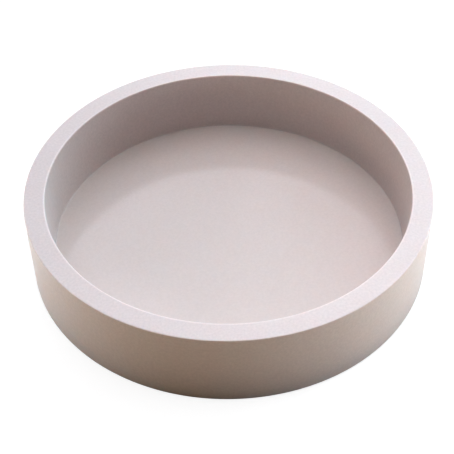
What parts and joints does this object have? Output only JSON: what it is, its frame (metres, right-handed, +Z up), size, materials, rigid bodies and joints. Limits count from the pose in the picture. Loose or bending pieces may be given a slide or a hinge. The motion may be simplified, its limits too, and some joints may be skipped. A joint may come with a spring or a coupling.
{
  "type": "silicone cake mould",
  "caption": "Round, shallow, thick-walled silicone cake mould with a wide flat rim, a slightly drafted cavity, a flat floor and a flat underside.",
  "frame": {"origin": "centre of the underside, on the surface that the mould stands on", "axes": "+Z up along the mould's axis of revolution, out of the cavity; +X and +Y lie in the underside and are interchangeable"},
  "size_m": [0.2, 0.2, 0.042],
  "materials": {
    "silicone": "pale greyish pink silicone, satin, glossier on the cavity's floor"
  },
  "bodies": {
    "root": {"mould_body": "silicone"}
  },
  "joints": []
}
